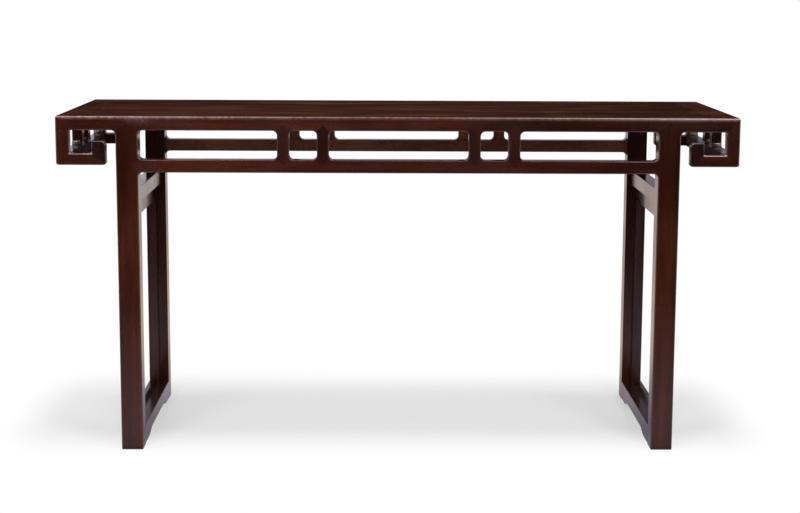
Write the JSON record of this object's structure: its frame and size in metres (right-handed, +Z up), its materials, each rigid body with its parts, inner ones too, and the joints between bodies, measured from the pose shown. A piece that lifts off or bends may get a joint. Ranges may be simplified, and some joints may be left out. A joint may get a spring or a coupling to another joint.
{
  "type": "chinese altar table",
  "caption": "Long hardwood altar table: flush framed top, straight legs, pierced strut aprons, squared scroll ends and lined end frames.",
  "frame": {"origin": "on the floor, under the middle of the top", "axes": "+X along the top, +Y from front to back, +Z up"},
  "size_m": [1.72, 0.6, 0.86],
  "materials": {
    "frame_wood": "clear gloss finish over dark red-brown hardwood",
    "top_board_wood": "clear gloss finish, grain along the boards",
    "liner_wood": "clear gloss finish",
    "batten_wood": "thin finish on the underside"
  },
  "bodies": {
    "root": {"back_apron_strut_1": "frame_wood", "back_apron_strut_2": "frame_wood", "back_apron_strut_3": "frame_wood", "back_apron_strut_4": "frame_wood", "back_stretcher": "frame_wood", "end_low_rail_left": "frame_wood", "end_low_rail_right": "frame_wood", "end_strut_back_left": "frame_wood", "end_strut_back_right": "frame_wood", "end_strut_front_left": "frame_wood", "end_strut_front_right": "frame_wood", "foot_rail_left": "frame_wood", "foot_rail_right": "frame_wood", "front_apron_strut_1": "frame_wood", "front_apron_strut_2": "frame_wood", "front_apron_strut_3": "frame_wood", "front_apron_strut_4": "frame_wood", "front_stretcher": "frame_wood", "leg_back_left": "frame_wood", "leg_back_right": "frame_wood", "leg_front_left": "frame_wood", "leg_front_right": "frame_wood", "liner_head_left": "liner_wood", "liner_head_right": "liner_wood", "liner_sill_left": "liner_wood", "liner_sill_right": "liner_wood", "liner_stile_back_left": "liner_wood", "liner_stile_back_right": "liner_wood", "liner_stile_front_left": "liner_wood", "liner_stile_front_right": "liner_wood", "scroll_bar_back_left": "frame_wood", "scroll_bar_back_right": "frame_wood", "scroll_bar_front_left": "frame_wood", "scroll_bar_front_right": "frame_wood", "scroll_hook_back_left": "frame_wood", "scroll_hook_back_right": "frame_wood", "scroll_hook_front_left": "frame_wood", "scroll_hook_front_right": "frame_wood", "scroll_post_back_left": "frame_wood", "scroll_post_back_right": "frame_wood", "scroll_post_front_left": "frame_wood", "scroll_post_front_right": "frame_wood", "side_rail_left": "frame_wood", "side_rail_right": "frame_wood", "top_back_rail": "frame_wood", "top_batten_1": "batten_wood", "top_batten_2": "batten_wood", "top_batten_3": "batten_wood", "top_batten_4": "batten_wood", "top_board_1": "top_board_wood", "top_board_2": "top_board_wood", "top_board_3": "top_board_wood", "top_end_rail_left": "frame_wood", "top_end_rail_right": "frame_wood", "top_front_rail": "frame_wood"}
  },
  "joints": []
}
